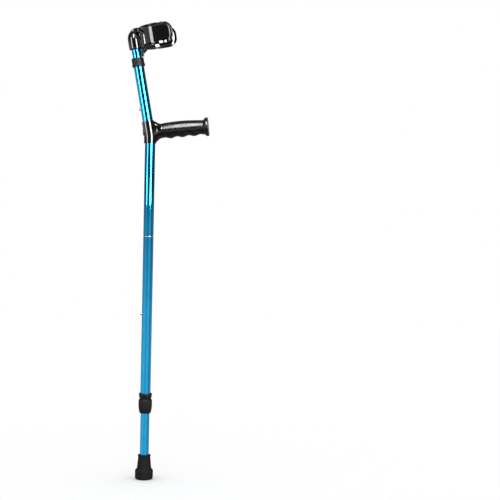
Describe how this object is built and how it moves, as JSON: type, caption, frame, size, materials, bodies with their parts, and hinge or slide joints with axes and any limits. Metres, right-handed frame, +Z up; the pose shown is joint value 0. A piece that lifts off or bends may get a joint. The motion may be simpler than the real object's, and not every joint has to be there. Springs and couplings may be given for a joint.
{
  "type": "forearm crutch",
  "caption": "Folding forearm crutch: blue tube shaft bent back above a finger grip, sliding open cuff, telescoping leg with rubber ferrule.",
  "frame": {"origin": "middle of the ferrule's flat base, on the ground", "axes": "+Z up the shaft, +X the way the grip points, +Y to the left, with the crutch symmetric about Y = 0"},
  "size_m": [0.1783, 0.0962, 0.9792],
  "materials": {
    "blue_tube": "bright blue anodised",
    "gloss_black": "polished moulded",
    "soft_grip": "satin moulded",
    "grey_cap": "satin",
    "matt_black": "matt moulded",
    "black_rubber": "matt",
    "bright_aluminium": "bright turned",
    "bright_steel": "nickel plated",
    "elastic_cord": "braided"
  },
  "bodies": {
    "upper_section": {"upper_tube": "blue_tube", "handle_bracket": "gloss_black", "clamp_shell": "gloss_black", "clamp_bolt": "bright_steel", "clamp_nut": "bright_steel", "grip_sleeve": "soft_grip", "grip_end_cap": "grey_cap", "upper_collar": "matt_black", "cord_upper_half": "elastic_cord", "upper_anchor_pin": "bright_steel"},
    "cuff_section": {"cuff_tube": "blue_tube", "cuff_bracket": "gloss_black", "cuff": "gloss_black", "cuff_screw": "bright_steel", "cuff_nut": "bright_steel"},
    "upper_button": {"upper_snap_clip": "bright_steel"},
    "fold_link": {"cord_lower_half": "elastic_cord"},
    "lower_section": {"lower_tube": "blue_tube", "joint_nose": "bright_aluminium", "lower_anchor_pin": "bright_steel", "collet": "matt_black"},
    "lock_nut": {"lower_lock_nut": "matt_black"},
    "leg": {"leg_tube": "blue_tube", "ferrule": "black_rubber", "ferrule_washer": "bright_steel"},
    "lower_button": {"lower_snap_clip": "bright_steel"}
  },
  "joints": [
    {"name": "fold_hinge", "type": "hinge", "parent": "upper_section", "child": "fold_link", "pos_m": [-0.0114, 0, 0.526], "axis": [0, 1, 0], "range_deg": [0, 170], "deforming": ["cord_upper_half", "cord_lower_half"]},
    {"name": "fold_draw", "type": "slide", "parent": "fold_link", "child": "lower_section", "axis": [0, 0, -1], "range_m": [0, 0.0205]},
    {"name": "height_slide", "type": "slide", "parent": "lower_section", "child": "leg", "axis": [0, 0, -1], "range_m": [-0.0762, 0.1524]},
    {"name": "lock_nut_turn", "type": "hinge", "parent": "lower_section", "child": "lock_nut", "pos_m": [0, 0, 0.1585], "axis": [0, 0, 1], "range_deg": [0, 90]},
    {"name": "lower_button_press", "type": "slide", "parent": "leg", "child": "lower_button", "axis": [1, 0, 0], "range_m": [0, 0.0042], "stiffness_N_per_m": 1200, "deforming": ["lower_snap_clip"]},
    {"name": "cuff_slide", "type": "slide", "parent": "upper_section", "child": "cuff_section", "axis": [-0.1822, 0, 0.9833], "range_m": [0, 0.0762]},
    {"name": "upper_button_press", "type": "slide", "parent": "cuff_section", "child": "upper_button", "axis": [0.9833, 0, 0.1822], "range_m": [0, 0.0042], "stiffness_N_per_m": 1200, "deforming": ["upper_snap_clip"]}
  ],
  "couplings": [
    {"joint": "fold_draw", "follows": "fold_hinge", "m_per_rad": 0.00674}
  ]
}
